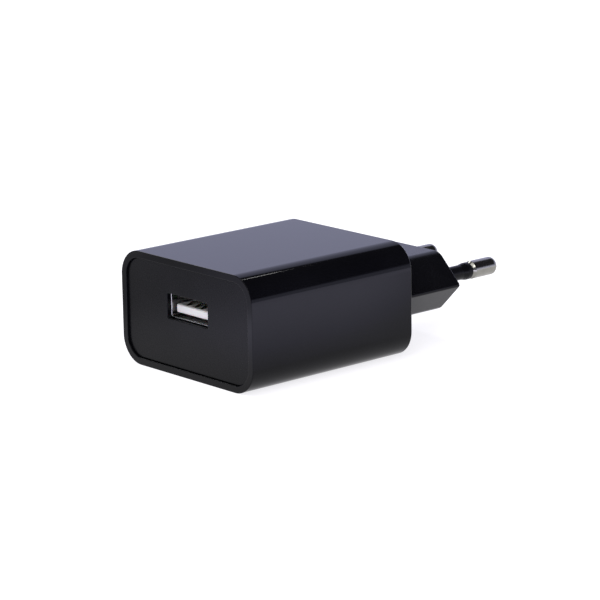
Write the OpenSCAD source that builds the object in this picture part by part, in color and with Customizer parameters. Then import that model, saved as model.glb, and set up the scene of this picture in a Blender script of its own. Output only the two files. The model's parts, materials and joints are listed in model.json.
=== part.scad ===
// USB wall charger with a two-pin round-pin plug.
// The charger lies on its flat side: the USB port faces -Y, the plug pins point to +Y and +Z is up.
// The origin is under the middle of the whole charger, at the level of its lowest face.

/* [Body] */
// Width of the body, across the port
body_w = 42; // [41:0.5:46]
// Height of the body as it lies
body_h = 24.6; // [24.6:0.2:27]
// Depth of the body, from its front rim to its back wall
body_d = 44.2; // [44.2:0.2:48]
// Radius of the four long edges
corner_r = 5.8; // [4.5:0.1:6.2]
// Wall thickness of the sleeve
wall = 1.5; // [1.4:0.05:1.7]
// How far the front cover is set back inside the rim
recess = 0.5; // [0.3:0.05:0.6]
// Thickness of the front cover
cover_t = 2; // [1.8:0.1:2.4]
// Thickness of the back wall
back_t = 2; // [1.8:0.1:2.4]
// Gap between the sleeve and the covers that slide into it
seam = 0.1; // [0.05:0.01:0.15]

/* [Plug] */
// Length of the six-sided spigot
spigot_l = 17.5; // [16.5:0.1:18]
// Width of the spigot, from edge to edge
spigot_w = 36; // [35:0.1:36]
// Height of the spigot, from flat to flat
spigot_h = 13; // [13:0.1:14.4]
// Wall thickness of the spigot
spigot_wall = 2; // [1.8:0.1:2.4]
// Thickness of the spigot's end wall, which holds the pins
end_wall = 3.2; // [3:0.1:4]
// Radius of the spigot's two sharp side edges
spigot_tip_r = 0.6; // [0.4:0.1:1]
// Radius of the four edges that bound the spigot's flats
spigot_flat_r = 3.5; // [1:0.1:4]
// Diameter of the pins
pin_d = 4; // [3.94:0.01:4.06]
// Length of the pins outside the spigot
pin_l = 18.5; // [18.5:0.1:19.5]
// Distance between the pins
pin_gap = 18.5; // [17.5:0.1:19]
// Length of a pin's bare metal end
bare_l = 7.5; // [6.5:0.1:8]

/* [USB port] */
// Width of the opening in the front cover
opening_w = 13; // [12.8:0.1:13]
// Height of the opening in the front cover
opening_h = 5.35; // [5.3:0.05:5.6]
// Height of the opening's middle above the middle of the body
opening_rise = 2.05; // [1.5:0.05:2.1]
// Inside width of the port's shell
port_w = 12.5; // [12.4:0.05:12.6]
// Inside height of the port's shell
port_h = 5.12; // [5.04:0.02:5.2]
// Depth of the port's shell
shell_l = 13.5; // [13:0.1:14]
// Width of the tongue
tongue_w = 11.1; // [11:0.05:11.2]
// Thickness of the tongue
tongue_t = 1.8; // [1.8:0.01:1.88]
// Length of the tongue
tongue_l = 8.9; // [8.7:0.1:9]

/* [Board] */
// Thickness of the circuit board
board_t = 1.6; // [1.5:0.05:1.6]
// Width of the circuit board
board_w = 36.8; // [36:0.1:36.8]

/* [Hidden] */
$fn = 64;

LEFT = -1;
RIGHT = 1;
cut = 1; // how far a cut runs past the face it opens

// Stations along Y and levels along Z
total_l = body_d + spigot_l + pin_l;
front_y = -total_l / 2;
back_y = front_y + body_d;
spigot_y = back_y + spigot_l;
tip_y = total_l / 2;
mid_z = body_h / 2;
inner_w = body_w - 2 * wall;
inner_h = body_h - 2 * wall;
inner_r = corner_r - wall;

// Covers: each slides into the sleeve on a skirt and snaps in on four ridges
cover_y = front_y + recess;
cover_in_y = cover_y + cover_t;
back_set = 0.15;
back_out_y = back_y - back_set;
back_in_y = back_out_y - back_t;
plate_w = inner_w - 2 * seam;
plate_h = inner_h - 2 * seam;
plate_r = inner_r - seam;
skirt_t = 1.2;
skirt_l = 5;
snap_w = 6;
snap_l = 1.2;
snap_h = 0.5;
snap_x = 9;
snap_room = 0.15;

// Port: its shell stands behind a thin lip of the front cover
lip_t = 0.95;
sheet_t = 0.3;
port_rise = 0.27;
tongue_set_back = 1.8;
tongue_edge = 0.2;
open_z = mid_z + opening_rise;
port_z = open_z + port_rise;
shell_w = port_w + 2 * sheet_t;
shell_h = port_h + 2 * sheet_t;
shell_y = cover_y + lip_t;
shell_r = 0.65;
shell_leg_w = 1.8;
shell_legs = [for (side = [LEFT, RIGHT], y = [4.5, 9.8])
    [side * (shell_w - sheet_t) / 2, shell_y + y]];
finger_x = [-3, 3];
finger_y = 2.6;
finger_w = 1.8;
finger_t = 0.24;
finger_room = 5;
tongue_y = cover_y + tongue_set_back;
tongue_top = port_z - 0.05;
block_y = tongue_y + tongue_l;
block_l = 3.4;
slot_w = 1.5;
slot_d = 1.2;
contact_x = [-3.5, -1, 1, 3.5];
contact_w = 1;
contact_t = 0.2;
hinge_y = block_y + 0.8;
hinge_z = tongue_top - 0.6;
leg_y = block_y + block_l + 0.7;

// Pins
stem_d = 2.6;
neck_d = 3.3;
bulge_d = 3.8;
fit = 0.02;
metal_y = tip_y - bare_l;
shoulder = 0.5;
pin_tip_r = 1.3;
sleeve_in = 1.5;
sleeve_gap = 0.25;
bulge_l = 2.6;
bulge_rise = 1.3;
tail_y = spigot_y - 12;
strip_w = 3;
strip_t = 0.5;
strip_leg_y = -0.9;

// Board and the points where leads go through it
board_z = port_z + shell_h / 2 + 0.05;
board_top = board_z + board_t;
board_y0 = cover_in_y + 0.4;
board_l = back_in_y - 0.4 - board_y0;
stand_off = 0.3;
lead_d = 0.6;
hole_d = 0.9;
lead_up = 1;
transformer_x = 0;
transformer_y = -16;
choke_at = [-4.4, -4.4];
resistor_at = [13.5, -8];
resistor_l = 8;
bulk_front_at = [-13.4, -18.6];
bulk_rear_at = [-13.4, -9.6];
output_cap_at = [-12.4, -29.6];
safety_at = [13.5, -19.5];
opto_at = [12.4, -29];
lead_pitch = 3.5;
transformer_pin_y = 6.9;
transformer_leads = [for (x = [-5, 0, 5], s = [-1, 1])
    [transformer_x + x, transformer_y + s * transformer_pin_y]];
capacitor_leads = [for (at = [bulk_front_at, bulk_rear_at, output_cap_at], s = [-1, 1])
    at + [0, s * lead_pitch / 2]];
choke_leads = [for (s = [-1, 1]) choke_at + [s * 1.5, 0]];
resistor_leads = [for (s = [-1, 1]) resistor_at + [0, s * (resistor_l / 2 + 1.2)]];
safety_leads = [for (s = [-1, 1]) safety_at + [0, s * 2.5]];
opto_leads = [for (x = [-3.8, 3.8], y = [-1.27, 1.27]) opto_at + [x, y]];
terminal_leads = [for (x = contact_x) [x, leg_y]];
all_leads = concat(transformer_leads, capacitor_leads, choke_leads, resistor_leads,
    safety_leads, opto_leads, terminal_leads);

// Points of the arc that rounds the corner b between a and c
function fillet(a, b, c, r, steps) =
    let (
        to_a = (a - b) / norm(a - b),
        to_c = (c - b) / norm(c - b),
        half = acos(to_a * to_c) / 2,
        centre = b + (to_a + to_c) / norm(to_a + to_c) * r / sin(half),
        first = b + to_a * r / tan(half) - centre,
        last = b + to_c * r / tan(half) - centre,
        start = atan2(first.y, first.x),
        turn = atan2(cross(first, last), first * last)
    )
    [for (i = [0 : steps]) centre + r * [cos(start + turn * i / steps), sin(start + turn * i / steps)]];

// Outline through points with each corner rounded by its own radius
function rounded(points, radii, steps = 8) =
    let (n = len(points))
    [for (i = [0 : n - 1])
        each fillet(points[(i + n - 1) % n], points[i], points[(i + 1) % n], radii[i], steps)];

// Closed outline of a strip of thickness t under a line of points
function strip(points, t) =
    concat(points, [for (i = [len(points) - 1 : -1 : 0]) points[i] - [0, t]]);

// Six-sided outline of the spigot, shrunk by inset
function spigot_outline(inset, tip_r, flat_r) =
    let (
        w = spigot_w / 2 - inset * sqrt(2),
        h = spigot_h / 2 - inset,
        flat = w - h
    )
    rounded([[w, 0], [flat, h], [-flat, h], [-w, 0], [-flat, -h], [flat, -h]],
        [tip_r, flat_r, flat_r, tip_r, flat_r, flat_r]);

// Extrudes an XZ outline from y0 along +Y
module along_y(y0, l) {
    translate([0, y0 + l, 0]) rotate([90, 0, 0]) linear_extrude(l) children();
}

// Extrudes a YZ outline across X, centred on x
module across_x(x, w) {
    translate([x - w / 2, 0, 0]) rotate([90, 0, 90]) linear_extrude(w) children();
}

module rounded_rect(w, h, r) {
    square([w - 2 * r, h], center = true);
    square([w, h - 2 * r], center = true);
    for (x = [-1, 1], z = [-1, 1])
        translate([x * (w / 2 - r), z * (h / 2 - r)]) circle(r);
}

module block(size, at) {
    translate(at) cube(size, center = true);
}

// Ridges of a cover at station y, or their pockets in the sleeve when room is given
module snaps(y, room = 0) {
    reach = plate_h / 2 + snap_h + room;
    for (x = [-snap_x, snap_x], z = [-1, 1])
        block([snap_w + 2 * room, snap_l + 2 * room, 1 + snap_h + room],
            [x, y, mid_z + z * (reach - (1 + snap_h + room) / 2)]);
}

module skirt(y0, l) {
    difference() {
        along_y(y0, l) translate([0, mid_z]) rounded_rect(plate_w, plate_h, plate_r);
        along_y(y0 - cut, l + 2 * cut) translate([0, mid_z])
            rounded_rect(plate_w - 2 * skirt_t, plate_h - 2 * skirt_t, plate_r - skirt_t);
        block([board_w + 0.2, 2 * l + 4 * cut, board_t + 0.2], [0, y0, board_z + board_t / 2]);
    }
}

// ---- Housing ----

module housing_sleeve() {
    color("#16161a") difference() {
        along_y(front_y, body_d) translate([0, mid_z]) rounded_rect(body_w, body_h, corner_r);
        along_y(front_y - cut, body_d + 2 * cut) translate([0, mid_z])
            rounded_rect(inner_w, inner_h, inner_r);
        snaps(cover_in_y + skirt_l - snap_l, snap_room);
        snaps(back_in_y - skirt_l + snap_l, snap_room);
    }
}

module front_cover() {
    color("#2a2a2d") difference() {
        union() {
            along_y(cover_y, cover_t) translate([0, mid_z]) rounded_rect(plate_w, plate_h, plate_r);
            skirt(cover_in_y, skirt_l);
            snaps(cover_in_y + skirt_l - snap_l);
        }
        along_y(cover_y - cut, cover_t + 2 * cut) translate([0, open_z])
            rounded_rect(opening_w, opening_h, 0.4);
        along_y(shell_y - 0.05, cover_t) translate([0, port_z])
            rounded_rect(shell_w + 0.3, shell_h + 0.3, shell_r + 0.15);
    }
}

module plug_body() {
    hollow_l = spigot_y - end_wall - back_in_y;
    hollow_r = 0.5;
    seat_d = 6.5;
    seat_l = 3;
    color("#1c1c20") difference() {
        union() {
            along_y(back_in_y, back_t) translate([0, mid_z]) rounded_rect(plate_w, plate_h, plate_r);
            skirt(back_in_y - skirt_l, skirt_l);
            snaps(back_in_y - skirt_l + snap_l);
            along_y(back_in_y + 1, spigot_y - back_in_y - 1) translate([0, mid_z])
                polygon(spigot_outline(0, spigot_tip_r, spigot_flat_r));
        }
        difference() {
            along_y(back_in_y - cut, hollow_l + cut) translate([0, mid_z])
                polygon(spigot_outline(spigot_wall, hollow_r, max(hollow_r, spigot_flat_r - spigot_wall)));
            for (side = [LEFT, RIGHT])
                on_pin(side, spigot_y - end_wall - seat_l) cylinder(d = seat_d, h = seat_l + cut);
        }
        for (side = [LEFT, RIGHT]) {
            on_pin(side, tail_y) cylinder(d = stem_d + 2 * fit, h = spigot_y - tail_y + cut);
            on_pin(side, spigot_y - sleeve_in) cylinder(d = neck_d + 2 * fit, h = sleeve_in + cut);
        }
    }
}

// ---- Pins ----

// Places a shape drawn along +Z on a pin's axis, starting at station y
module on_pin(side, y) {
    translate([side * pin_gap / 2, y, mid_z]) rotate([-90, 0, 0]) children();
}

module pin(side) {
    straight = bare_l - shoulder - pin_tip_r;
    color("#b9babd") {
        on_pin(side, tail_y) cylinder(d = stem_d, h = metal_y - tail_y);
        on_pin(side, metal_y) cylinder(h = shoulder, d1 = pin_d - 2 * shoulder, d2 = pin_d);
        on_pin(side, metal_y + shoulder) rotate_extrude() {
            square([pin_d / 2, straight]);
            square([pin_d / 2 - pin_tip_r, straight + pin_tip_r]);
            intersection() {
                translate([pin_d / 2 - pin_tip_r, straight]) circle(pin_tip_r);
                square([pin_d / 2, straight + pin_tip_r]);
            }
        }
    }
}

module pin_sleeve(side) {
    l = metal_y - sleeve_gap - spigot_y + sleeve_in;
    bore = stem_d / 2 + fit;
    bulge_r = bulge_d / 2;
    profile = concat(
        [[bore, 0], [neck_d / 2, 0], [neck_d / 2, l - bulge_l]],
        fillet([neck_d / 2, l - bulge_l], [bulge_r, l - bulge_l + bulge_rise], [bulge_r, l], 1.5, 4),
        fillet([bulge_r, l - 1], [bulge_r, l], [bore, l], 0.4, 5),
        [[bore, l]]
    );
    color("#1a1a1c") on_pin(side, spigot_y - sleeve_in) rotate_extrude() polygon(profile);
}

// Brass strip that lies on a pin's tail and turns up into the board
module pin_contact(side) {
    low = mid_z + stem_d / 2;
    outline = [[tail_y + 5, low], [tail_y + 5, low + strip_t], [strip_leg_y + strip_t, low + strip_t],
        [strip_leg_y + strip_t, board_top + lead_up], [strip_leg_y, board_top + lead_up],
        [strip_leg_y, low]];
    color("#c9a24a") across_x(side * pin_gap / 2, strip_w) polygon(outline);
}

// ---- USB port ----

// Spring finger pressed into one wide face of the shell; face is +1 on top and -1 below
module shell_finger(x, face) {
    root_y = shell_y + finger_y;
    inner = port_h / 2;
    line = [[root_y - 0.3, inner + sheet_t], [root_y, inner + sheet_t], [root_y + 2.4, inner - 0.1],
        [root_y + 3.2, inner - 0.1], [root_y + 4, inner + 0.15]];
    translate([x, 0, port_z]) rotate([0, face > 0 ? 0 : 180, 0])
        across_x(0, finger_w) polygon(strip(line, finger_t));
}

module usb_shell() {
    leg_z = board_top + lead_up - port_z;
    color("#c4c5c8") {
        difference() {
            along_y(shell_y, shell_l) translate([0, port_z]) rounded_rect(shell_w, shell_h, shell_r);
            along_y(shell_y - cut, shell_l + 2 * cut) translate([0, port_z])
                rounded_rect(port_w, port_h, shell_r - sheet_t);
            for (x = finger_x)
                block([finger_w + 0.8, finger_room, 2 * shell_h],
                    [x, shell_y + finger_y + finger_room / 2, port_z]);
        }
        for (x = finger_x, face = [-1, 1]) shell_finger(x, face);
        for (p = shell_legs)
            block([sheet_t, shell_leg_w, leg_z], [p.x, p.y, port_z + leg_z / 2]);
    }
}

module usb_insulator() {
    under = tongue_top - tongue_t;
    tongue = [[tongue_y + tongue_edge, under], [block_y + cut, under], [block_y + cut, tongue_top],
        [tongue_y + tongue_edge, tongue_top], [tongue_y, tongue_top - tongue_edge],
        [tongue_y, under + tongue_edge]];
    color("#f1f1ef") difference() {
        union() {
            across_x(0, tongue_w) polygon(tongue);
            along_y(block_y, block_l) translate([0, port_z])
                rounded_rect(port_w - 0.1, port_h - 0.1, shell_r - sheet_t);
        }
        for (x = contact_x) {
            block([slot_w, hinge_y + 0.4 - tongue_y - 0.6, 2 * slot_d],
                [x, (hinge_y + 0.4 + tongue_y + 0.6) / 2, tongue_top]);
            block([contact_w + 0.1, 2 * block_l, contact_t + 0.1],
                [x, block_y + block_l, hinge_z]);
        }
    }
}

// Sprung beam of a contact: it turns about its root and is pressed flush by a plug
module usb_contact(n) {
    line = [[hinge_y + 0.3, hinge_z + 0.1], [hinge_y - 0.9, hinge_z + 0.15],
        [hinge_y - 6, tongue_top + 0.25], [hinge_y - 6.6, tongue_top + 0.3],
        [hinge_y - 7.2, tongue_top + 0.22], [hinge_y - 8.6, tongue_top - 0.4]];
    color("#d8b25a") across_x(contact_x[n - 1], contact_w) polygon(strip(line, contact_t));
}

// Fixed ends of the contacts, from behind each beam to the board
module usb_terminal_legs() {
    outline = [[hinge_y + 0.6, hinge_z - contact_t / 2], [leg_y + 0.15, hinge_z - contact_t / 2],
        [leg_y + 0.15, board_top + lead_up], [leg_y - 0.15, board_top + lead_up],
        [leg_y - 0.15, hinge_z + contact_t / 2], [hinge_y + 0.6, hinge_z + contact_t / 2]];
    color("#d8b25a") for (x = contact_x) across_x(x, lead_d) polygon(outline);
}

// ---- Board and what it carries ----

// Straight lead from level z up through the board
module lead(at, z) {
    translate([at.x, at.y, z]) cylinder(d = lead_d, h = board_top + lead_up - z);
}

module circuit_board() {
    color("#2f6b3c") difference() {
        translate([-board_w / 2, board_y0, board_z]) cube([board_w, board_l, board_t]);
        for (p = all_leads) translate([p.x, p.y, board_z - cut]) cylinder(d = hole_d, h = board_t + 2 * cut);
        for (side = [LEFT, RIGHT])
            block([strip_w + 0.3, strip_t + 0.3, 2 * board_t + 2 * cut],
                [side * pin_gap / 2, strip_leg_y + strip_t / 2, board_z]);
        for (p = shell_legs)
            block([sheet_t + 0.4, shell_leg_w + 0.4, 2 * board_t + 2 * cut], [p.x, p.y, board_z]);
    }
}

module solder_joints() {
    color("#aeb1b3") for (p = all_leads) translate([p.x, p.y, board_top]) difference() {
        cylinder(h = 0.75, r1 = 0.85, r2 = 0.5);
        translate([0, 0, -cut]) cylinder(d = lead_d + 0.14, h = 1 + 2 * cut);
    }
}

// Can capacitor that hangs under the board; the bead near its seal is a groove
module can_capacitor(at, d, h) {
    bottom = board_z - stand_off - h;
    translate([at.x, at.y, bottom]) rotate_extrude() {
        square([d / 2, h - 2.6]);
        square([d / 2 - 0.4, h]);
        translate([0, h - 1.6]) square([d / 2, 1.6]);
    }
    for (s = [-1, 1]) lead(at + [0, s * lead_pitch / 2], board_z - stand_off - 0.5);
}

module bulk_capacitor_front() {
    color("#23395d") can_capacitor(bulk_front_at, 8, 13.2);
}

module bulk_capacitor_rear() {
    color("#23395d") can_capacitor(bulk_rear_at, 8, 13.2);
}

module output_capacitor() {
    color("#3b2f52") can_capacitor(output_cap_at, 7.6, 11.5);
}

module filter_choke() {
    d = 5.8;
    h = 7.5;
    color("#4a4a4a") {
        translate([choke_at.x, choke_at.y, board_z - stand_off - h]) rotate_extrude() {
            square([d / 2, 1.1]);
            square([d / 2 - 0.7, h]);
            translate([0, h - 1.1]) square([d / 2, 1.1]);
        }
        for (p = choke_leads) lead(p, board_z - stand_off - 0.5);
    }
}

module fusible_resistor() {
    d = 3.2;
    z = board_z - stand_off - d / 2 - 0.6;
    color("#4f8f86") {
        translate([resistor_at.x, resistor_at.y - resistor_l / 2, z]) rotate([-90, 0, 0])
            cylinder(d = d, h = resistor_l);
        translate([resistor_at.x, resistor_leads[0].y, z]) rotate([-90, 0, 0])
            cylinder(d = lead_d - 0.1, h = resistor_leads[1].y - resistor_leads[0].y);
        for (p = resistor_leads) lead(p, z - lead_d / 2 - 0.1);
    }
}

module safety_capacitor() {
    d = 7.5;
    z = board_z - stand_off - 0.8 - d / 2;
    color("#2f63a8") {
        translate([safety_at.x - 1.7, safety_at.y, z]) rotate([0, 90, 0]) cylinder(d = d, h = 3.4);
        for (p = safety_leads) lead(p, z);
    }
}

// Moulded chip package standing on or hanging under the board, with legs on its two X sides
module package(at, size, leg_ys, face) {
    leg_w = 0.5;
    leg_t = 0.25;
    gap = 0.1;
    base = face > 0 ? board_top : board_z;
    block(size, [at.x, at.y, base + face * (gap + size.z / 2)]);
    for (side = [-1, 1], y = leg_ys) {
        x = at.x + side * (size.x / 2 + 0.4);
        block([0.9, leg_w, leg_t], [x, at.y + y, base + face * (gap + size.z / 2)]);
        block([leg_t, leg_w, gap + size.z / 2 + leg_t / 2],
            [x + side * 0.35, at.y + y, base + face * (gap + size.z / 2 + leg_t / 2) / 2]);
    }
}

module bridge_rectifier() {
    color("#232323") package([-9.4, -9.5], [3.9, 4.7, 2.4], [-1.25, 1.25], 1);
}

module controller_chip() {
    color("#232323") package([9, -7], [3.9, 4.9, 1.5], [-1.905, -0.635, 0.635, 1.905], 1);
}

module output_diode() {
    color("#232323") package([0.5, -30.5], [6, 5.6, 2.3], [0], 1);
}

module optocoupler() {
    size = [6.4, 4.6, 3.3];
    z = board_z - stand_off - size.z / 2;
    color("#e9e6da") {
        block(size, [opto_at.x, opto_at.y, z]);
        for (p = opto_leads) {
            lead(p, z);
            block([abs(p.x - opto_at.x) - size.x / 2 + 0.2, lead_d, lead_d],
                [(p.x + opto_at.x + sign(p.x - opto_at.x) * size.x / 2) / 2, p.y, z + lead_d / 2]);
        }
    }
}

module chips(size, spots) {
    for (p = spots) block(size, [p.x, p.y, board_top + size.z / 2 + 0.02]);
}

module chip_resistors() {
    color("#2b2b2b") chips([2, 1.25, 0.5], [for (i = [0 : 3]) [-3 + 3.4 * i, -19.5],
        [-9, -14], [-4.5, -14], [3, -13.2], [10.5, -13.5]]);
}

module chip_capacitors() {
    color("#b89b6c") chips([2, 1.25, 0.9],
        [[0, -11.5], [0, -13.2], [-15.5, -24.5], [-8.5, -25], [9.5, -34.5]]);
}

// ---- Transformer: its winding turns round the upright middle leg of the core ----

core_w = 16;
core_h = 12.6;
core_t = 5;
core_leg = 2;
core_gap = 0.1;
core_z = board_z - 0.6 - core_h / 2;
tube_w = 5.8;
tube_d = 6.8;
former_h = core_h - 2 * core_leg - 0.2;
flange_t = 0.8;

module at_transformer() {
    translate([transformer_x, transformer_y, core_z]) children();
}

module transformer_core() {
    window_w = (core_w - 4 * core_leg) / 2;
    color("#3a3a3c") at_transformer() difference() {
        cube([core_w, core_t, core_h], center = true);
        for (side = [-1, 1])
            block([window_w, core_t + 2 * cut, core_h - 2 * core_leg],
                [side * (core_leg + window_w / 2), 0, 0]);
        cube([core_w + 2 * cut, core_t + 2 * cut, core_gap], center = true);
    }
}

module transformer_bobbin() {
    flange_w = core_w - 2 * core_leg - 0.4;
    flange_d = 13;
    rail_z = board_z - 0.1 - core_z;
    color("#25252a") at_transformer() difference() {
        union() {
            cube([tube_w, tube_d, former_h], center = true);
            for (z = [-1, 1])
                block([flange_w, flange_d, flange_t], [0, 0, z * (former_h - flange_t) / 2]);
            for (s = [-1, 1])
                block([13, 2.2, rail_z - former_h / 2 + flange_t],
                    [0, s * transformer_pin_y, (rail_z + former_h / 2 - flange_t) / 2]);
        }
        cube([2 * core_leg + 0.2, core_t + 0.2, core_h], center = true);
        for (p = transformer_leads)
            translate([p.x - transformer_x, p.y - transformer_y, 0]) cylinder(d = lead_d + 2 * fit, h = core_h);
    }
}

module winding_ring(outer_w, outer_d, inner_w, inner_d, r, h) {
    difference() {
        linear_extrude(h, center = true) rounded_rect(outer_w, outer_d, r);
        cube([inner_w, inner_d, h + 2 * cut], center = true);
    }
}

winding_w = 10.6;
winding_d = 12;
winding_h = former_h - 2 * flange_t - 0.2;

module transformer_winding() {
    color("#b5652b") at_transformer()
        winding_ring(winding_w, winding_d, tube_w + 0.1, tube_d + 0.1, 1.5, winding_h);
}

module transformer_tape() {
    color("#e3c53a") at_transformer() difference() {
        linear_extrude(winding_h - 0.2, center = true)
            rounded_rect(winding_w + 0.5, winding_d + 0.5, 1.75);
        linear_extrude(winding_h + cut, center = true)
            rounded_rect(winding_w + 0.1, winding_d + 0.1, 1.55);
    }
}

module transformer_pins() {
    color("#b9babd") for (p = transformer_leads) lead(p, core_z + former_h / 2 - flange_t + 0.2);
}

housing_sleeve();
front_cover();
plug_body();
pin(LEFT);  // pin_left
pin(RIGHT);  // pin_right
pin_sleeve(LEFT);  // pin_sleeve_left
pin_sleeve(RIGHT);  // pin_sleeve_right
pin_contact(LEFT);  // pin_contact_left
pin_contact(RIGHT);  // pin_contact_right
usb_shell();
usb_insulator();
usb_contact(1);  // usb_contact_1
usb_contact(2);  // usb_contact_2
usb_contact(3);  // usb_contact_3
usb_contact(4);  // usb_contact_4
usb_terminal_legs();
circuit_board();
solder_joints();
fusible_resistor();
filter_choke();
bridge_rectifier();
bulk_capacitor_front();
bulk_capacitor_rear();
controller_chip();
transformer_core();
transformer_bobbin();
transformer_winding();
transformer_tape();
transformer_pins();
safety_capacitor();
optocoupler();
output_diode();
output_capacitor();
chip_resistors();
chip_capacitors();
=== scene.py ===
"""Looks of the USB wall charger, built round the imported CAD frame. Row frame, in metres."""
import json
import math

import bmesh
import bpy
from mathutils import Matrix, Vector


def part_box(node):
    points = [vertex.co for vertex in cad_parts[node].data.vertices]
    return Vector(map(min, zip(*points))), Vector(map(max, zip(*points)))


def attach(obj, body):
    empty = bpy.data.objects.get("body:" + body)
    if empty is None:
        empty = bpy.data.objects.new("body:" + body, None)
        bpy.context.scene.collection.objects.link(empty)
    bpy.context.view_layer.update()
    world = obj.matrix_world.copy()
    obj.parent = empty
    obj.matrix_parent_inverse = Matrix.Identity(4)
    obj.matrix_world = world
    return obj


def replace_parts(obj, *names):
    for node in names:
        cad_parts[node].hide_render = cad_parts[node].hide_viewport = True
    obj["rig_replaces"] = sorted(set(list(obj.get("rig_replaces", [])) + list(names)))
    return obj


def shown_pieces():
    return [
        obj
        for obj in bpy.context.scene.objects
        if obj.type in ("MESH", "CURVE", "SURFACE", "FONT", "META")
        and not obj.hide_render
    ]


MM = 0.001

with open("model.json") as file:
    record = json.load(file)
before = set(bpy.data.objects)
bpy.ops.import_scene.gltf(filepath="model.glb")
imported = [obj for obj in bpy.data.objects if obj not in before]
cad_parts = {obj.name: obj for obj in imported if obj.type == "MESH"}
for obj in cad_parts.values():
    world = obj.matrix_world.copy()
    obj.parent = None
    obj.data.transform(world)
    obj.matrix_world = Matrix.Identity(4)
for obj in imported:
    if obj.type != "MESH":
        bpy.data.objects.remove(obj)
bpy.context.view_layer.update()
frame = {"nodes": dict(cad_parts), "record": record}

# ---------------------------------------------------------------- dimensions

sleeve_lo, sleeve_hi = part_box("housing_sleeve")
cover_lo, cover_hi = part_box("front_cover")
plug_lo, plug_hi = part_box("plug_body")
shell_lo, shell_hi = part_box("usb_shell")
insulator_lo, insulator_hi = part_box("usb_insulator")

BODY_W = sleeve_hi.x - sleeve_lo.x
BODY_H = sleeve_hi.z
FRONT_Y = sleeve_lo.y
BACK_Y = sleeve_hi.y
MID_Z = BODY_H / 2
PLATE_W = cover_hi.x - cover_lo.x
SEAM = 0.1 * MM
FLAT_BAND = 0.15 * MM  # keeps the shading of a rounded edge off the flat beside it
WALL = (BODY_W - PLATE_W) / 2 - SEAM
PLATE_H = BODY_H - 2 * (WALL + SEAM)
CORNER_R = 5.8 * MM
INNER_R = CORNER_R - WALL
PLATE_R = INNER_R - SEAM
SKIRT_T = 0.95 * MM
COVER_Y = cover_lo.y
COVER_T = 2 * MM
COVER_END_Y = cover_hi.y

PLUG_FRONT_Y = plug_lo.y
BACK_OUT_Y = BACK_Y - 0.15 * MM
BACK_IN_Y = BACK_OUT_Y - 2 * MM
SPIGOT_Y = plug_hi.y
SPIGOT_W = 36 * MM
SPIGOT_H = 13 * MM
SPIGOT_TIP_R = 0.6 * MM
SPIGOT_FLAT_R = 3.5 * MM
SPIGOT_WALL = 2 * MM
END_WALL = 3.2 * MM

SHEET_T = 0.3 * MM
SHELL_W = shell_hi.x - shell_lo.x
SHELL_H = 5.72 * MM
SHELL_R = 0.65 * MM
SHELL_Y = shell_lo.y
SHELL_END_Y = shell_hi.y
PORT_Z = shell_lo.z + SHELL_H / 2
PORT_W = SHELL_W - 2 * SHEET_T
PORT_H = SHELL_H - 2 * SHEET_T
OPENING_W = 13 * MM
OPENING_H = 5.35 * MM
OPENING_Z = PORT_Z - 0.27 * MM
TONGUE_W = 11.1 * MM
TONGUE_T = 1.8 * MM
TONGUE_TOP = PORT_Z - 0.05 * MM
TONGUE_Y = insulator_lo.y
TONGUE_L = 8.9 * MM
BLOCK_Y = TONGUE_Y + TONGUE_L
BLOCK_END_Y = insulator_hi.y
STEM_R = 1.3 * MM
NECK_R = 1.65 * MM
PIN_FIT = 0.02 * MM  # play round a pin's stem and its sleeve's neck

SIDES = {"left": -1, "right": 1}

# ---------------------------------------------------------------- outlines


def arc(centre, radius, start, end, steps):
    """Points on an arc, from angle start to angle end in degrees."""
    angles = [math.radians(start + (end - start) * i / steps) for i in range(steps + 1)]
    return [(centre[0] + radius * math.cos(a), centre[1] + radius * math.sin(a)) for a in angles]


def rounded_rect(w, h, r, centre_z, steps=14):
    """XZ outline of a rectangle with round corners, centred on x = 0."""
    outline = []
    for x, z, start in ((1, 1, 0), (-1, 1, 90), (-1, -1, 180), (1, -1, 270)):
        centre = (x * (w / 2 - r), centre_z + z * (h / 2 - r))
        outline += arc(centre, r, start, start + 90, steps)
    return outline


def fillet(a, b, c, r, steps):
    """Points of the arc of radius r that rounds the corner b between a and c."""
    a, b, c = Vector(a), Vector(b), Vector(c)
    to_a, to_c = (a - b).normalized(), (c - b).normalized()
    half = to_a.angle(to_c) / 2
    centre = b + (to_a + to_c).normalized() * r / math.sin(half)
    first = b + to_a * r / math.tan(half) - centre
    last = b + to_c * r / math.tan(half) - centre
    start = math.degrees(math.atan2(first.y, first.x))
    turn = math.degrees(math.atan2(first.cross(last), first.dot(last)))
    return arc(centre, r, start, start + turn, steps)


def rounded_outline(points, radii, steps):
    """Closed outline through points, each corner rounded by its own radius."""
    n = len(points)
    outline = []
    for i in range(n):
        outline += fillet(points[i - 1], points[i], points[(i + 1) % n], radii[i], steps)
    return outline


def body_outline(inset):
    return rounded_rect(BODY_W - 2 * inset, BODY_H - 2 * inset, CORNER_R - inset, MID_Z)


def plate_outline(inset):
    return rounded_rect(PLATE_W - 2 * inset, PLATE_H - 2 * inset, PLATE_R - inset, MID_Z)


def opening_outline(grow):
    return rounded_rect(OPENING_W + 2 * grow, OPENING_H + 2 * grow, 0.4 * MM + grow, OPENING_Z)


def shell_outline(inset, steps=8):
    return rounded_rect(SHELL_W - 2 * inset, SHELL_H - 2 * inset, SHELL_R - inset, PORT_Z, steps)


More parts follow.
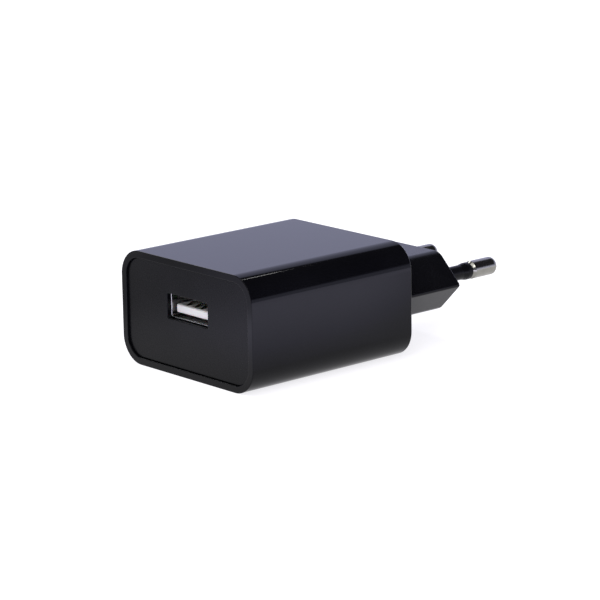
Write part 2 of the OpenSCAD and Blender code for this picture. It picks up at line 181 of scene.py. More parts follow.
def spigot_outline(inset, tip_r=SPIGOT_TIP_R, flat_r=SPIGOT_FLAT_R, steps=12):
    """Six-sided outline of the spigot; a negative inset grows it."""
    w = SPIGOT_W / 2 - inset * math.sqrt(2)
    h = SPIGOT_H / 2 - inset
    flat = w - h
    corners = [(w, 0), (flat, h), (-flat, h), (-w, 0), (-flat, -h), (flat, -h)]
    radii = [tip_r, flat_r, flat_r, tip_r, flat_r, flat_r]
    return [(x, z + MID_Z) for x, z in rounded_outline(corners, radii, steps)]


def circle(x, z, r, steps=64):
    return arc((x, z), r, 0, 360 - 360 / steps, steps - 1)


def edge_stations(y, towards, r, steps=5):
    """(inset, y) pairs of a round outer edge, from the face at y to the wall that runs towards +Y or -Y."""
    pairs = []
    for i in range(steps + 1):
        a = math.radians(90 * i / steps)
        pairs.append((r * (1 - math.sin(a)), y + towards * r * (1 - math.cos(a))))
    return pairs


# ---------------------------------------------------------------- mesh building


class Shape:
    """A mesh built from rings of points that stand across the Y axis."""

    def __init__(self):
        self.bm = bmesh.new()

    def ring(self, outline, y):
        return [self.bm.verts.new((x, y, z)) for x, z in outline]

    def bridge(self, a, b):
        n = len(a)
        for i in range(n):
            j = (i + 1) % n
            self.bm.faces.new((a[i], a[j], b[j], b[i]))

    def sweep(self, rings):
        for a, b in zip(rings, rings[1:]):
            self.bridge(a, b)
        return rings

    def fill(self, *loops):
        """Fills the flat area between loops, the first outside and the rest holes in it."""
        edges = []
        for loop in loops:
            for i, v in enumerate(loop):
                w = loop[(i + 1) % len(loop)]
                edges.append(self.bm.edges.get((v, w)) or self.bm.edges.new((v, w)))
        bmesh.ops.triangle_fill(self.bm, use_beauty=True, edges=edges)

    def prism_x(self, outline, x, width):
        """Closed prism of a YZ outline, width wide across x."""
        ends = [[self.bm.verts.new((x + side * width / 2, y, z)) for y, z in outline] for side in (-1, 1)]
        self.bridge(*ends)
        for end in ends:
            self.bm.faces.new(end)

    def done(self, name, sharp=35.0):
        bmesh.ops.recalc_face_normals(self.bm, faces=self.bm.faces)
        mesh = bpy.data.meshes.new(name)
        self.bm.to_mesh(mesh)
        self.bm.free()
        mesh.shade_smooth()
        mesh.set_sharp_from_angle(angle=math.radians(sharp))
        piece = bpy.data.objects.new(name, mesh)
        bpy.context.scene.collection.objects.link(piece)
        return piece


def settle_normals(piece):
    """Keeps flats flat where they meet a small round edge."""
    weighted = piece.modifiers.new("normals", "WEIGHTED_NORMAL")
    weighted.keep_sharp = True
    weighted.weight = 100


def round_edges(piece, width, segments=2, angle=40.0):
    bevel = piece.modifiers.new("edges", "BEVEL")
    bevel.width = width
    bevel.segments = segments
    bevel.limit_method = "ANGLE"
    bevel.angle_limit = math.radians(angle)
    bevel.use_clamp_overlap = True


def cut_out(piece, cutters):
    """Cuts the closed cutter pieces out of piece, and removes them."""
    for cutter in cutters:
        boolean = piece.modifiers.new("cut", "BOOLEAN")
        boolean.operation = "DIFFERENCE"
        boolean.solver = "EXACT"
        boolean.object = cutter
    graph = bpy.context.evaluated_depsgraph_get()
    mesh = bpy.data.meshes.new_from_object(piece.evaluated_get(graph))
    piece.modifiers.clear()
    piece.data = mesh
    for cutter in cutters:
        bpy.data.objects.remove(cutter)


def box_piece(lo, hi):
    """A plain block, used only to cut with."""
    shape = Shape()
    outline = [(lo[1], lo[2]), (hi[1], lo[2]), (hi[1], hi[2]), (lo[1], hi[2])]
    shape.prism_x(outline, (lo[0] + hi[0]) / 2, hi[0] - lo[0])
    return shape.done("cutter")


def stands_for(piece, node, material, body="charger"):
    """The piece rides on its body, replaces its CAD node and takes the given material."""
    piece.data.materials.clear()
    piece.data.materials.append(material)
    settle_normals(piece)
    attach(piece, body)
    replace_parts(piece, node)
    return piece


slot_of = {s["node"]: s["material_slot"] for s in frame["record"]["subparts"]}

# ---------------------------------------------------------------- materials


class Look:
    """A procedural material: helpers that add nodes in front of one Principled shader."""

    def __init__(self, name, **sockets):
        self.material = bpy.data.materials.new(name)
        self.material.use_nodes = True
        self.tree = self.material.node_tree
        self.shader = self.tree.nodes["Principled BSDF"]
        self.place = self.tree.nodes.new("ShaderNodeTexCoord").outputs["Object"]
        for socket, value in sockets.items():
            self.shader.inputs[socket.replace("_", " ")].default_value = value

    def link(self, out, into):
        self.tree.links.new(out, into)

    def stretched(self, scale):
        node = self.tree.nodes.new("ShaderNodeMapping")
        node.inputs["Scale"].default_value = scale
        self.link(self.place, node.inputs["Vector"])
        return node.outputs["Vector"]

    def noise(self, size, detail=2.0, stretch=(1, 1, 1), rough=0.5):
        """Noise whose blotches are about size metres across, longer along an axis with a small stretch."""
        node = self.tree.nodes.new("ShaderNodeTexNoise")
        node.inputs["Scale"].default_value = 1 / size
        node.inputs["Detail"].default_value = detail
        node.inputs["Roughness"].default_value = rough
        self.link(self.stretched(stretch), node.inputs["Vector"])
        return node.outputs["Fac"]

    def waves(self, size, axis, distortion=1.0):
        """Bands about size metres wide, one after another along axis."""
        band_at_scale_1 = 0.314
        node = self.tree.nodes.new("ShaderNodeTexWave")
        node.bands_direction = axis
        node.inputs["Scale"].default_value = band_at_scale_1 / size
        node.inputs["Distortion"].default_value = distortion
        node.inputs["Detail"].default_value = 2
        self.link(self.place, node.inputs["Vector"])
        return node.outputs["Fac"]

    def vector(self, operation, a, b):
        node = self.tree.nodes.new("ShaderNodeVectorMath")
        node.operation = operation
        self.link(a, node.inputs[0])
        node.inputs[1].default_value = b
        return node.outputs["Value" if operation in ("DOT_PRODUCT", "LENGTH") else "Vector"]

    def outside(self, centre, half):
        """Distance in metres from the upright box round centre, and 0 inside it."""
        offset = self.vector("SUBTRACT", self.place, centre)
        offset = self.vector("ABSOLUTE", offset, (0, 0, 0))
        offset = self.vector("SUBTRACT", offset, half)
        offset = self.vector("MAXIMUM", offset, (0, 0, 0))
        return self.vector("LENGTH", offset, (0, 0, 0))

    def spread(self, value, low, high, from_low=0.3, from_high=0.7, easing="LINEAR"):
        """Maps from_low..from_high, by default where most of a noise lies, to low..high."""
        node = self.tree.nodes.new("ShaderNodeMapRange")
        node.interpolation_type = easing
        node.inputs["From Min"].default_value = from_low
        node.inputs["From Max"].default_value = from_high
        node.inputs["To Min"].default_value = low
        node.inputs["To Max"].default_value = high
        self.link(value, node.inputs["Value"])
        return node.outputs["Result"]

    def fade(self, value, start, end):
        """0 up to start, 1 from end on, and a soft rise between."""
        return self.spread(value, 0, 1, start, end, "SMOOTHSTEP")

    def product(self, a, b):
        node = self.tree.nodes.new("ShaderNodeMath")
        node.operation = "MULTIPLY"
        self.link(a, node.inputs[0])
        self.link(b, node.inputs[1])
        return node.outputs["Value"]

    def blended(self, share, low, high):
        """The colour low where share is 0 and high where it is 1."""
        node = self.tree.nodes.new("ShaderNodeMix")
        node.data_type = "RGBA"
        node.inputs["A"].default_value = (*low, 1)
        node.inputs["B"].default_value = (*high, 1)
        self.link(share, node.inputs["Factor"])
        return node.outputs["Result"]

    def colours(self, value, low, high):
        node = self.tree.nodes.new("ShaderNodeValToRGB")
        node.color_ramp.elements[0].position = 0.3
        node.color_ramp.elements[1].position = 0.7
        node.color_ramp.elements[0].color = (*low, 1)
        node.color_ramp.elements[1].color = (*high, 1)
        self.link(value, node.inputs["Fac"])
        self.link(node.outputs["Color"], self.shader.inputs["Base Color"])

    def roughness(self, value, low, high):
        self.link(self.spread(value, low, high), self.shader.inputs["Roughness"])

    def bump(self, value, depth, strength=1.0):
        """Adds relief depth metres deep on top of any earlier relief."""
        node = self.tree.nodes.new("ShaderNodeBump")
        node.inputs["Distance"].default_value = depth
        node.inputs["Strength"].default_value = strength
        self.link(value, node.inputs["Height"])
        earlier = self.shader.inputs["Normal"].links
        if earlier:
            self.link(earlier[0].from_socket, node.inputs["Normal"])
        self.link(node.outputs["Normal"], self.shader.inputs["Normal"])


def gloss_black():
    """Polished moulded plastic: a slight orange peel and hair-fine polishing lines."""
    look = Look("gloss_black", IOR=1.46, Specular_IOR_Level=0.135)
    look.colours(look.noise(9 * MM, 3), (0.0024, 0.0024, 0.0032), (0.0034, 0.0034, 0.0044))
    look.roughness(look.noise(2.5 * MM, 5, (1, 0.15, 1)), 0.045, 0.085)
    look.bump(look.noise(5 * MM, 1), 0.002 * MM)
    look.bump(look.noise(0.35 * MM, 2), 0.0003 * MM)
    return look.material


def matt_black():
    """Spark-eroded moulded face: a fine even grain."""
    look = Look("matt_black", IOR=1.46, Specular_IOR_Level=0.115)
    look.colours(look.noise(6 * MM, 4), (0.0026, 0.0026, 0.0034), (0.0036, 0.0036, 0.0046))
    look.roughness(look.noise(0.4 * MM, 4), 0.23, 0.29)
    look.bump(look.noise(0.14 * MM, 3), 0.003 * MM, 0.6)
    return look.material


def satin_black(name, low=0.14, high=0.22):
    """Plug moulding: smooth, with a soft sheen."""
    look = Look(name, IOR=1.46, Specular_IOR_Level=0.105)
    look.colours(look.noise(7 * MM, 3), (0.0036, 0.0036, 0.0044), (0.0050, 0.0050, 0.0060))
    look.roughness(look.noise(1.5 * MM, 4), low, high)
    look.bump(look.noise(0.22 * MM, 2), 0.0012 * MM, 0.6)
    return look.material


def plated(name, low, high, rough_low, rough_high, ring=0.12 * MM):
    """Turned and plated metal: fine rings round the Y axis."""
    look = Look(name, Metallic=1.0)
    look.colours(look.noise(1.8 * MM, 3), low, high)
    look.roughness(look.noise(0.5 * MM, 3, (1, 6, 1)), rough_low, rough_high)
    look.bump(look.waves(ring, "Y", 0.4), 0.0008 * MM, 0.5)
    return look.material


def stamped(name, low, high, rough_low=0.16, rough_high=0.30):
    """Rolled sheet: drawn lines along Y."""
    look = Look(name, Metallic=1.0)
    look.colours(look.noise(1.5 * MM, 3), low, high)
    look.roughness(look.noise(0.25 * MM, 3, (1, 0.08, 1)), rough_low, rough_high)
    look.bump(look.noise(0.10 * MM, 2, (1, 0.05, 1)), 0.0020 * MM, 0.6)
    return look.material


def moulded(name, low, high, rough=(0.30, 0.45), grain=0.2 * MM, relief=0.002 * MM, blotch=3 * MM, **sockets):
    """Plain moulded, dipped or sintered surface with a fine grain."""
    look = Look(name, **sockets)
    look.colours(look.noise(blotch, 3), low, high)
    look.roughness(look.noise(0.8 * MM, 3), *rough)
    look.bump(look.noise(grain, 3), relief, 0.7)
    return look.material


def board_green():
    """Solder mask over the weave of the glass cloth."""
    look = Look("board_green", IOR=1.5)
    look.colours(look.noise(1.6 * MM, 4), (0.012, 0.085, 0.028), (0.022, 0.135, 0.045))
    look.roughness(look.noise(0.9 * MM, 3), 0.18, 0.32)
    look.bump(look.waves(0.45 * MM, "X", 0.3), 0.004 * MM, 0.5)
    look.bump(look.waves(0.45 * MM, "Y", 0.3), 0.004 * MM, 0.5)
    return look.material


def copper_wire():
    """Enamelled copper, wound in turns that lie flat one above the other."""
    look = Look("copper_wire", Metallic=1.0)
    look.colours(look.noise(1.2 * MM, 3), (0.36, 0.10, 0.03), (0.56, 0.20, 0.06))
    look.roughness(look.noise(0.6 * MM, 3), 0.22, 0.36)
    look.bump(look.waves(0.25 * MM, "Z", 0.2), 0.05 * MM, 0.9)
    return look.material


looks = {
    "gloss_black": gloss_black(),
    "matt_black": matt_black(),
    "satin_black": satin_black("satin_black"),
    "pin_insulation": satin_black("pin_insulation", 0.20, 0.30),
    "nickel_plate": plated("nickel_plate", (0.22, 0.216, 0.194), (0.26, 0.255, 0.23), 0.09, 0.15),
    "port_steel": stamped("port_steel", (0.30, 0.30, 0.30), (0.40, 0.40, 0.39)),
    "contact_gold": stamped("contact_gold", (0.42, 0.38, 0.31), (0.52, 0.48, 0.40), 0.18, 0.30),
    "spring_brass": stamped("spring_brass", (0.50, 0.34, 0.12), (0.64, 0.46, 0.18)),
    "solder": stamped("solder", (0.50, 0.51, 0.52), (0.66, 0.67, 0.68), 0.12, 0.24),
    "port_white": moulded("port_white", (0.72, 0.71, 0.665), (0.79, 0.78, 0.735), (0.28, 0.40),
                          IOR=1.5, Subsurface_Weight=0.15, Subsurface_Scale=0.4 * MM),
    "board_green": board_green(),
    "copper_wire": copper_wire(),
    "resistor_body": moulded("resistor_body", (0.06, 0.25, 0.21), (0.10, 0.34, 0.29)),
    "choke_body": moulded("choke_body", (0.02, 0.02, 0.02), (0.035, 0.035, 0.035)),
    "chip_black": moulded("chip_black", (0.012, 0.012, 0.012), (0.022, 0.022, 0.022), (0.5, 0.7)),
    "capacitor_blue": moulded("capacitor_blue", (0.012, 0.035, 0.10), (0.02, 0.05, 0.14), (0.2, 0.3)),
    "capacitor_violet": moulded("capacitor_violet", (0.04, 0.02, 0.08), (0.06, 0.03, 0.12), (0.2, 0.3)),
    "ferrite": moulded("ferrite", (0.03, 0.03, 0.032), (0.055, 0.055, 0.058), (0.4, 0.6),
                       grain=0.1 * MM, relief=0.006 * MM),
    "bobbin_black": moulded("bobbin_black", (0.014, 0.014, 0.015), (0.022, 0.022, 0.024)),
    "tape_yellow": moulded("tape_yellow", (0.66, 0.46, 0.03), (0.82, 0.62, 0.06), (0.15, 0.3)),
    "disc_blue": moulded("disc_blue", (0.02, 0.10, 0.34), (0.04, 0.17, 0.46), (0.2, 0.35)),
    "opto_cream": moulded("opto_cream", (0.66, 0.63, 0.53), (0.78, 0.75, 0.65)),
    "chip_resistor": moulded("chip_resistor", (0.02, 0.02, 0.02), (0.04, 0.04, 0.04), (0.15, 0.3)),
    "chip_capacitor": moulded("chip_capacitor", (0.34, 0.24, 0.13), (0.46, 0.33, 0.19)),
}

# ---------------------------------------------------------------- housing


def make_sleeve():
    """Glossy tube: round outer edges front and back, a flat rim and a softened inner edge."""
    front_edge, back_edge, inner_edge = 0.14 * MM, 0.3 * MM, 0.12 * MM
    outside = edge_stations(FRONT_Y, 1, front_edge, 6)
    outside += reversed(edge_stations(BACK_Y, -1, back_edge, 6))
    inside = [(WALL - d, y) for d, y in edge_stations(BACK_Y, -1, inner_edge, 4)]
    inside += [(WALL - d, y) for d, y in reversed(edge_stations(FRONT_Y, 1, inner_edge, 4))]
    shape = Shape()
    rings = shape.sweep([shape.ring(body_outline(d), y) for d, y in outside + inside])
    shape.bridge(rings[-1], rings[0])
    return stands_for(shape.done("sleeve"), "housing_sleeve", looks["gloss_black"])


def make_cover():
    """Front cover: a plate with a soft-edged port opening, a pocket behind it and a skirt."""
    outer_edge, opening_edge, pocket_play = 0.1 * MM, 0.12 * MM, 0.15 * MM
    shape = Shape()
    outside = [(outer_edge + FLAT_BAND, COVER_Y), *edge_stations(COVER_Y, 1, outer_edge, 5)]
    mouth = [(opening_edge + FLAT_BAND, COVER_Y), *edge_stations(COVER_Y, 1, opening_edge, 5)]
    outer = shape.sweep(
        [shape.ring(plate_outline(d), y) for d, y in outside]
        + [shape.ring(plate_outline(0), COVER_END_Y), shape.ring(plate_outline(SKIRT_T), COVER_END_Y),
           shape.ring(plate_outline(SKIRT_T), COVER_Y + COVER_T)]
    )
    pocket = shell_outline(-pocket_play, 14)
    pocket_y = SHELL_Y - 0.05 * MM
    inner = shape.sweep(
        [shape.ring(opening_outline(d), y) for d, y in mouth]
        + [shape.ring(opening_outline(0), pocket_y), shape.ring(pocket, pocket_y),
           shape.ring(pocket, COVER_Y + COVER_T)]
    )
    shape.fill(outer[0], inner[0])
    shape.fill(outer[-1], inner[-1])
    return stands_for(shape.done("cover"), "front_cover", looks["matt_black"])


def make_plug_body():
    """Back wall and hollow six-sided spigot in one moulding, with a small root fillet."""
    root_r, end_r, plate_edge = 0.3 * MM, 0.35 * MM, 0.15 * MM
    seat_edge, seat_depth, hollow_tip_r = 0.15 * MM, 1.5 * MM, 0.5 * MM
    shape = Shape()
    plate = shape.sweep(
        [shape.ring(plate_outline(plate_edge + FLAT_BAND), BACK_OUT_Y)]
        + [shape.ring(plate_outline(d), y) for d, y in edge_stations(BACK_OUT_Y, -1, plate_edge, 5)]
        + [shape.ring(plate_outline(0), PLUG_FRONT_Y), shape.ring(plate_outline(SKIRT_T), PLUG_FRONT_Y),
           shape.ring(plate_outline(SKIRT_T), BACK_IN_Y)]
    )
    root = [(-root_r - FLAT_BAND, BACK_OUT_Y)]
    root += [(-root_r * (1 - math.sin(a)), BACK_OUT_Y + root_r * (1 - math.cos(a)))
             for a in [math.radians(90 * i / 5) for i in range(6)]]
    end = [*reversed(edge_stations(SPIGOT_Y, -1, end_r, 6)), (end_r + FLAT_BAND, SPIGOT_Y)]
    spigot = shape.sweep([shape.ring(spigot_outline(d), y) for d, y in root + end])
    shape.fill(plate[0], spigot[0])
    hollow = [shape.ring(spigot_outline(SPIGOT_WALL, hollow_tip_r, SPIGOT_FLAT_R - SPIGOT_WALL), y)
              for y in (BACK_IN_Y, SPIGOT_Y - END_WALL)]
    shape.sweep(hollow)
    shape.fill(plate[-1], hollow[0])
    mouths, backs = [], []
    for side in SIDES.values():
        x = side * pin_x
        seat_r, bore_r = NECK_R + PIN_FIT, STEM_R + PIN_FIT
        bore = shape.sweep([
            shape.ring(circle(x, MID_Z, seat_r + seat_edge), SPIGOT_Y),
            shape.ring(circle(x, MID_Z, seat_r), SPIGOT_Y - seat_edge),
            shape.ring(circle(x, MID_Z, seat_r), SPIGOT_Y - seat_depth),
            shape.ring(circle(x, MID_Z, bore_r), SPIGOT_Y - seat_depth),
            shape.ring(circle(x, MID_Z, bore_r), SPIGOT_Y - END_WALL),
        ])
        mouths.append(bore[0])
        backs.append(bore[-1])
    shape.fill(spigot[-1], *mouths)
    shape.fill(hollow[-1], *backs)
    return stands_for(shape.done("plug"), "plug_body", looks["satin_black"])


# ---------------------------------------------------------------- pins

pin_lo, pin_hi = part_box("pin_right")
pin_x = (pin_lo.x + pin_hi.x) / 2
PIN_R = (pin_hi.x - pin_lo.x) / 2
PIN_TIP_Y = pin_hi.y
PIN_TAIL_Y = pin_lo.y
METAL_L = 7.5 * MM
METAL_Y = PIN_TIP_Y - METAL_L
insulation_lo, insulation_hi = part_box("pin_sleeve_right")
BULGE_R = (insulation_hi.x - insulation_lo.x) / 2


def lathe(name, x, stations, closed):
    """A turned piece along Y at x, through (radius, y) stations; closed joins its last ring to its first."""
    shape = Shape()
    rings = shape.sweep([shape.ring(circle(x, MID_Z, r), y) for r, y in stations])
    if closed:
        shape.bridge(rings[-1], rings[0])
    else:
        shape.fill(rings[0])
        shape.fill(rings[-1])
    return shape.done(name, 50)


def make_pin(side):
    """Round pin: thin stem, chamfered shoulder and a rounded tip."""
    shoulder, tip_r, softened = 0.5 * MM, 1.3 * MM, 0.15 * MM
    rim, top = (PIN_R - shoulder, METAL_Y), (PIN_R, METAL_Y + shoulder)
    stations = [(STEM_R, PIN_TAIL_Y), (STEM_R, METAL_Y)]
    stations += fillet((STEM_R, METAL_Y), rim, top, softened / 2, 3)
    stations += fillet(rim, top, (PIN_R, PIN_TIP_Y - tip_r), softened, 4)
    tip = arc((PIN_R - tip_r, PIN_TIP_Y - tip_r), tip_r, 0, 90, 12)
    piece = lathe(f"pin_{side}_turned", SIDES[side] * pin_x, stations + tip, False)
    return stands_for(piece, f"pin_{side}", looks["nickel_plate"])


def make_pin_sleeve(side):
    """Insulating sleeve: a slim neck, then a bulge with round shoulders up to the bare metal."""
    bulge_l, rise = 2.6 * MM, 1.3 * MM
    foot_r, shoulder_r, end_r = 1.2 * MM, 1.5 * MM, 0.35 * MM
    y0, y1 = insulation_lo.y, insulation_hi.y
    shoulder = [(NECK_R, y1 - bulge_l), (BULGE_R, y1 - bulge_l + rise), (BULGE_R, y1)]
    outer = fillet((NECK_R, y0), shoulder[0], shoulder[1], foot_r, 6)
    outer += fillet(*shoulder, shoulder_r, 6)
    outer += fillet((BULGE_R, y1 - 1 * MM), (BULGE_R, y1), (0, y1), end_r, 8)
    bore_r = STEM_R + PIN_FIT
    stations = [(bore_r, y0), (NECK_R, y0)] + outer + [(bore_r, y1)]
    piece = lathe(f"pin_{side}_insulation", SIDES[side] * pin_x, stations, True)
    return stands_for(piece, f"pin_sleeve_{side}", looks["pin_insulation"])


# ---------------------------------------------------------------- USB port


def bent_strip(shape, line, thickness, x, width):
    """A strip of sheet bent along a YZ line, thickness thick below it and width wide across x."""
    below = []
    for i, (y, z) in enumerate(line):
        before = Vector(line[max(i - 1, 0)])
        after = Vector(line[min(i + 1, len(line) - 1)])
        along = (after - before).normalized()
        below.append((y + along.y * thickness, z - along.x * thickness))
    shape.prism_x(list(line) + below[::-1], x, width)


def smooth_line(points, steps=6):
    """Catmull-Rom line through YZ points."""
    padded = [points[0], *points, points[-1]]
    line = []
    for a, b, c, d in zip(padded, padded[1:], padded[2:], padded[3:]):
        for i in range(steps):
            t = i / steps
            line.append(tuple(
                0.5 * (2 * q + (r - p) * t + (2 * p - 5 * q + 4 * r - s) * t * t
                       + (3 * q - p - 3 * r + s) * t ** 3)
                for p, q, r, s in zip(a, b, c, d)
            ))
    return line + [points[-1]]


def make_usb_shell():
    """Folded steel shell with sprung fingers in its wide faces and legs to the board."""
    edge = 0.1 * MM
    finger_xs, finger_w, finger_t = (-3 * MM, 3 * MM), 1.8 * MM, 0.24 * MM
    window_l, side_gap, window_reach = 5 * MM, 0.4 * MM, 0.8 * MM
    root_y = SHELL_Y + 2.6 * MM
    shape = Shape()
    stations = edge_stations(SHELL_Y, 1, edge, 3) + [(0, SHELL_END_Y), (SHEET_T, SHELL_END_Y)]
    stations += [(SHEET_T - d, y) for d, y in reversed(edge_stations(SHELL_Y, 1, edge, 3))]
    rings = shape.sweep([shape.ring(shell_outline(d), y) for d, y in stations])
    shape.bridge(rings[-1], rings[0])
    piece = shape.done("port_shell")
    inner = PORT_H / 2
    windows = [
        box_piece((x - finger_w / 2 - side_gap, root_y, PORT_Z + face * inner - window_reach),
                  (x + finger_w / 2 + side_gap, root_y + window_l, PORT_Z + face * inner + window_reach))
        for x in finger_xs for face in (-1, 1)
    ]
    cut_out(piece, windows)
    extra = Shape()
    bend = smooth_line([(root_y - 0.3 * MM, inner + SHEET_T), (root_y, inner + SHEET_T),
                        (root_y + 1.2 * MM, inner + 0.12 * MM), (root_y + 2.4 * MM, inner - 0.1 * MM),
                        (root_y + 3.2 * MM, inner - 0.1 * MM), (root_y + 4 * MM, inner + 0.15 * MM)])
    for x in finger_xs:
        bent_strip(extra, [(y, PORT_Z + z) for y, z in bend], finger_t, x, finger_w)
        bent_strip(extra, [(y, PORT_Z - z) for y, z in bend], -finger_t, x, finger_w)
    leg_half, leg_tip = 0.9 * MM, 0.4 * MM
    for side in SIDES.values():
        for y in (SHELL_Y + 4.5 * MM, SHELL_Y + 9.8 * MM):
            leg = [(y - leg_half, PORT_Z), (y + leg_half, PORT_Z),
                   (y + leg_half, shell_hi.z - leg_tip), (y + leg_half - leg_tip, shell_hi.z),
                   (y - leg_half + leg_tip, shell_hi.z), (y - leg_half, shell_hi.z - leg_tip)]
            extra.prism_x(leg, side * (SHELL_W - SHEET_T) / 2, SHEET_T * 0.98)
    fittings = extra.done("port_shell_fingers")
    round_edges(fittings, 0.04 * MM)
    fittings.data.materials.append(looks["port_steel"])
    settle_normals(fittings)
    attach(fittings, "charger")
    return stands_for(piece, "usb_shell", looks["port_steel"])


CONTACT_NODES = [f"usb_contact_{n}" for n in (1, 2, 3, 4)]


def contact_x(node):
    lo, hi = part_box(node)
    return (lo.x + hi.x) / 2


def make_insulator():
    """White block and tongue, with a slot for each contact."""
    under, edge, back_y = TONGUE_TOP - TONGUE_T, 0.2 * MM, BLOCK_Y + 0.5 * MM
    slot_half, slot_depth, block_play = 0.75 * MM, 1.2 * MM, 0.05 * MM
    shape = Shape()
    tongue = [(TONGUE_Y + edge, under), (back_y, under), (back_y, TONGUE_TOP),
              (TONGUE_Y + edge, TONGUE_TOP), (TONGUE_Y, TONGUE_TOP - edge), (TONGUE_Y, under + edge)]
    shape.prism_x(tongue, 0, TONGUE_W)
    piece = shape.done("port_tongue")
    cutters = [
        box_piece((contact_x(n) - slot_half, TONGUE_Y + 0.6 * MM, TONGUE_TOP - slot_depth),
                  (contact_x(n) + slot_half, BLOCK_Y + 1 * MM, TONGUE_TOP + 1 * MM))
        for n in CONTACT_NODES
    ]
    cut_out(piece, cutters)
    round_edges(piece, 0.09 * MM, 3)
    block = Shape()
    outline = rounded_rect(PORT_W - 2 * block_play, PORT_H - 2 * block_play, 0.35 * MM, PORT_Z, 6)
    rings = [block.ring(outline, y) for y in (BLOCK_Y, BLOCK_END_Y)]
    block.bridge(*rings)
    for ring in rings:
        block.fill(ring)
    back = block.done("port_block")
    tunnels = [
        box_piece((contact_x(n) - slot_half, BLOCK_Y - 1 * MM, TONGUE_TOP - slot_depth),
                  (contact_x(n) + slot_half, BLOCK_Y + 1.2 * MM, TONGUE_TOP))
        for n in CONTACT_NODES
    ]
    cut_out(back, tunnels)
    back.data.materials.append(looks["port_white"])
    settle_normals(back)
    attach(back, "charger")
    return stands_for(piece, "usb_insulator", looks["port_white"])


def make_contact(node, body):
    """Sprung beam: flat root, a rise to the crest that a plug touches, and a tip bent down into its slot."""
    lo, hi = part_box(node)
    thickness = 0.2 * MM
    root_y, crest = hi.y, hi.z
    root_z = TONGUE_TOP - 0.5 * MM
    line = smooth_line([
        (root_y, root_z), (root_y - 1.2 * MM, root_z + 0.05 * MM),
        (root_y - 4 * MM, crest - 0.35 * MM), (root_y - 6.3 * MM, crest - 0.04 * MM),
        (root_y - 6.9 * MM, crest), (root_y - 7.5 * MM, crest - 0.09 * MM),
        (lo.y + 0.4 * MM, TONGUE_TOP - 0.18 * MM), (lo.y, TONGUE_TOP - 0.4 * MM),
    ])
    shape = Shape()
    bent_strip(shape, line[::-1], thickness, (lo.x + hi.x) / 2, hi.x - lo.x)
    piece = shape.done(f"{node}_beam", 40)
    round_edges(piece, 0.03 * MM)
    return stands_for(piece, node, looks["contact_gold"], body)


# ---------------------------------------------------------------- assembly

make_sleeve()
make_cover()
make_plug_body()
for side in SIDES:
    make_pin(side)
    make_pin_sleeve(side)
make_usb_shell()
make_insulator()
for number, node in enumerate(CONTACT_NODES, 1):
    make_contact(node, f"contact_{number}")

replaced = {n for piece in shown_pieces() for n in piece.get("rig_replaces", [])}
for node, cad in frame["nodes"].items():
    if node not in replaced:
        cad.data.materials.clear()
        cad.data.materials.append(looks[slot_of[node]])

# ---------------------------------------------------------------- stage

AZIMUTH, ELEVATION, ROLL = 48.57, 13.905, -0.889  # of the camera, in degrees
LENS_MM, SENSOR_MM = 164.06, 36.0
DISTANCE = 574 * MM
LOOK_AT = Vector((5.125 * MM, COVER_Y + 26.3425 * MM, 12.915 * MM))


def make_camera():
    azimuth, elevation, roll = (math.radians(a) for a in (AZIMUTH, ELEVATION, ROLL))
    back = Vector((math.sin(azimuth) * math.cos(elevation), -math.cos(azimuth) * math.cos(elevation),
                   math.sin(elevation)))
    right = Vector((0, 0, 1)).cross(back).normalized()
    up = back.cross(right)
    across = right * math.cos(roll) + up * math.sin(roll)
    upward = up * math.cos(roll) - right * math.sin(roll)
    data = bpy.data.cameras.new("camera")
    data.lens = LENS_MM
    data.sensor_width = SENSOR_MM
    data.clip_start = 0.01
    camera = bpy.data.objects.new("camera", data)
    turn = Matrix((across, upward, back)).transposed().to_4x4()
    camera.matrix_world = Matrix.Translation(LOOK_AT + back * DISTANCE) @ turn
    bpy.context.scene.collection.objects.link(camera)
    bpy.context.scene.camera = camera


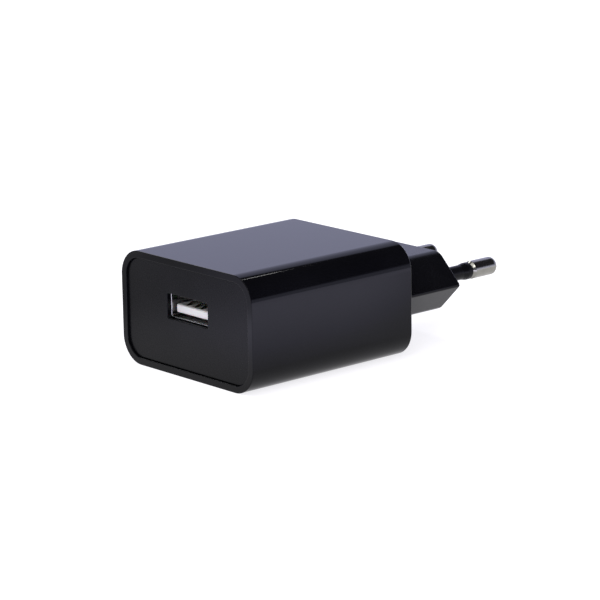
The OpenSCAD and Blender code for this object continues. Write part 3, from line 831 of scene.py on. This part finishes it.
def make_floor():
    """Pale floor that glows, over-exposed, with painted light in its glow: a painted pool of light off to the
    front right, painted shade far to the front left and a painted shadow, with no glow at all, under the
    charger."""
    half = 4.0
    mesh = bpy.data.meshes.new("floor")
    corners = [(-half, -half, 0), (half, -half, 0), (half, half, 0), (-half, half, 0)]
    mesh.from_pydata(corners, [], [(0, 1, 2, 3)])
    floor = bpy.data.objects.new("floor", mesh)
    bpy.context.scene.collection.objects.link(floor)
    look = Look("floor_painted_light", Base_Color=(0.5, 0.5, 0.5, 1), Roughness=0.9, Specular_IOR_Level=0.0)

    # distances over the floor: from the body's flat underside, from the whole outline, and two ways across
    half_w, overhang = BODY_W / 2, 8 * MM
    under = look.outside((0, (FRONT_Y + BACK_Y) / 2, 0),
                         (half_w - overhang, (BACK_Y - FRONT_Y) / 2 - overhang, 0))
    beyond = look.outside((0, (FRONT_Y + PIN_TIP_Y) / 2, 0), (half_w, (PIN_TIP_Y - FRONT_Y) / 2, 0))
    to_right = look.vector("DOT_PRODUCT", look.place, (0.75, -0.66, 0))
    to_left = look.vector("DOT_PRODUCT", look.place, (-0.66, -0.75, 0))

    # painted light: a pool of brighter glow off to the front right of the charger
    painted_light_pool = look.product(look.fade(beyond, 5 * MM, 56 * MM), look.fade(to_right, 5 * MM, 32 * MM))
    # painted shade: the glow drops far to the front left
    painted_shade_left = look.product(look.fade(to_left, 66 * MM, 96 * MM), look.fade(to_right, -15 * MM, 0))
    # painted shadow under the charger: no glow under its flat underside, full glow from 4 mm beyond it
    glow_with_painted_light = look.product(look.spread(painted_light_pool, 0.80, 2.15, 0, 1), look.fade(under, 0, 4 * MM))
    glow_with_painted_light = look.product(glow_with_painted_light, look.spread(painted_shade_left, 1, 0.3, 0, 1))
    look.link(glow_with_painted_light, look.shader.inputs["Emission Strength"])
    # painted light colour: the glow turns bluer in the painted pool of light
    tint = look.blended(look.spread(painted_light_pool, 0, 1, 0, 0.4), (1.03, 1.02, 1.05), (1.02, 1.0, 1.30))
    look.link(tint, look.shader.inputs["Emission Color"])
    mesh.materials.append(look.material)


def direction(azimuth, elevation):
    """Unit vector; azimuth is measured from +Y towards +X, in degrees."""
    azimuth, elevation = math.radians(azimuth), math.radians(elevation)
    level = math.cos(elevation)
    return Vector((math.sin(azimuth) * level, math.cos(azimuth) * level, math.sin(elevation)))


def make_area(name, towards, distance, width, height, radiance):
    """Soft light that stands distance away in direction towards and faces the object."""
    data = bpy.data.lights.new(name, "AREA")
    data.shape = "RECTANGLE"
    data.size = width
    data.size_y = height
    data.energy = radiance * math.pi * width * height
    lamp = bpy.data.objects.new(name, data)
    lamp.location = Vector((0, 0, MID_Z)) + towards * distance
    lamp.rotation_mode = "QUATERNION"
    lamp.rotation_quaternion = towards.to_track_quat("Z", "Y")
    bpy.context.scene.collection.objects.link(lamp)


def make_world():
    """Dark room with three pale screens: a tall one behind the object, a low one to its right and a
    faint one in front."""
    room, softness = (0.045, 0.045, 0.055), 0.035
    screens = [
        # two points on the upper edge, from left to right, then the colour below it
        (direction(-28, 42.5), direction(49.5, 9), (0.80, 0.82, 1.14)),
        (direction(20, 7.5), direction(80, 7.5), (1.15, 1.17, 1.52)),
        (direction(90, 2), direction(180, 28), (0.30, 0.31, 0.38)),
    ]
    world = bpy.data.worlds.new("studio")
    world.use_nodes = True
    tree = world.node_tree
    place = tree.nodes.new("ShaderNodeTexCoord").outputs["Generated"]
    colour = None
    for left, right, tint in screens:
        side = tree.nodes.new("ShaderNodeVectorMath")
        side.operation = "DOT_PRODUCT"
        side.inputs[1].default_value = left.cross(right).normalized()
        tree.links.new(place, side.inputs[0])
        share = tree.nodes.new("ShaderNodeMapRange")
        share.interpolation_type = "SMOOTHSTEP"
        share.inputs["From Min"].default_value = -softness
        share.inputs["From Max"].default_value = softness
        tree.links.new(side.outputs["Value"], share.inputs["Value"])
        mix = tree.nodes.new("ShaderNodeMix")
        mix.data_type = "RGBA"
        mix.inputs["A"].default_value = (*room, 1)
        mix.inputs["B"].default_value = (*tint, 1)
        tree.links.new(share.outputs["Result"], mix.inputs["Factor"])
        if colour is not None:
            tree.links.new(colour, mix.inputs["A"])
        colour = mix.outputs["Result"]
    tree.links.new(colour, tree.nodes["Background"].inputs["Color"])
    bpy.context.scene.world = world


make_camera()
make_floor()
make_world()
make_area("overhead", direction(180, 84), distance=1.0, width=0.8, height=0.8, radiance=1.0)
make_area("key", direction(-88, 45), distance=1.0, width=0.55, height=0.30, radiance=6)
make_area("fill", direction(136, 40), distance=0.8, width=0.35, height=0.35, radiance=3.5)
make_area("strip", direction(-19.9, 49.7), distance=1.0, width=0.03, height=0.015, radiance=16)
make_area("front_top", direction(175, 50), distance=1.0, width=1.0, height=0.45, radiance=2.0)
bpy.context.scene.view_settings.view_transform = "Standard"
